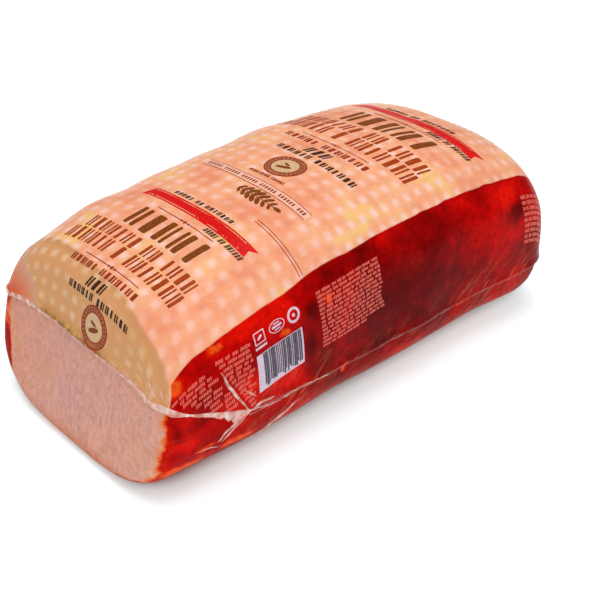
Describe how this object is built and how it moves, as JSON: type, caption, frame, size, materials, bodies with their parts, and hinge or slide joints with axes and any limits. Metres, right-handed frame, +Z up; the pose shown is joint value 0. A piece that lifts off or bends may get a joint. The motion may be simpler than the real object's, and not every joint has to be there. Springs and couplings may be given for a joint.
{
  "type": "film-packed marinated roast pork loin",
  "caption": "Whole marinated roast pork loin with one straight cut end, shut in tight deli film that is printed above and clear below; rests on its flat underside.",
  "frame": {"origin": "bottom centre of the loin's box, on the surface that it rests on", "axes": "+X along the loin from its cut end to its rounded end, +Z up"},
  "size_m": [0.332, 0.1862, 0.1231],
  "materials": {
    "printed_film": "glossy shrunk plastic film, printed peach with soft pale checks and deep red side fields",
    "clear_film": "clear glossy shrunk plastic film with fine wrinkles and a whitish welded edge",
    "meat": "moist cooked pork, dull pink on the cut end, with an orange-red marinated rind",
    "print_ink": "flat printing ink under glossy film, brown, red and white"
  },
  "bodies": {
    "root": {"film_packed_loin": "printed_film"}
  },
  "joints": []
}
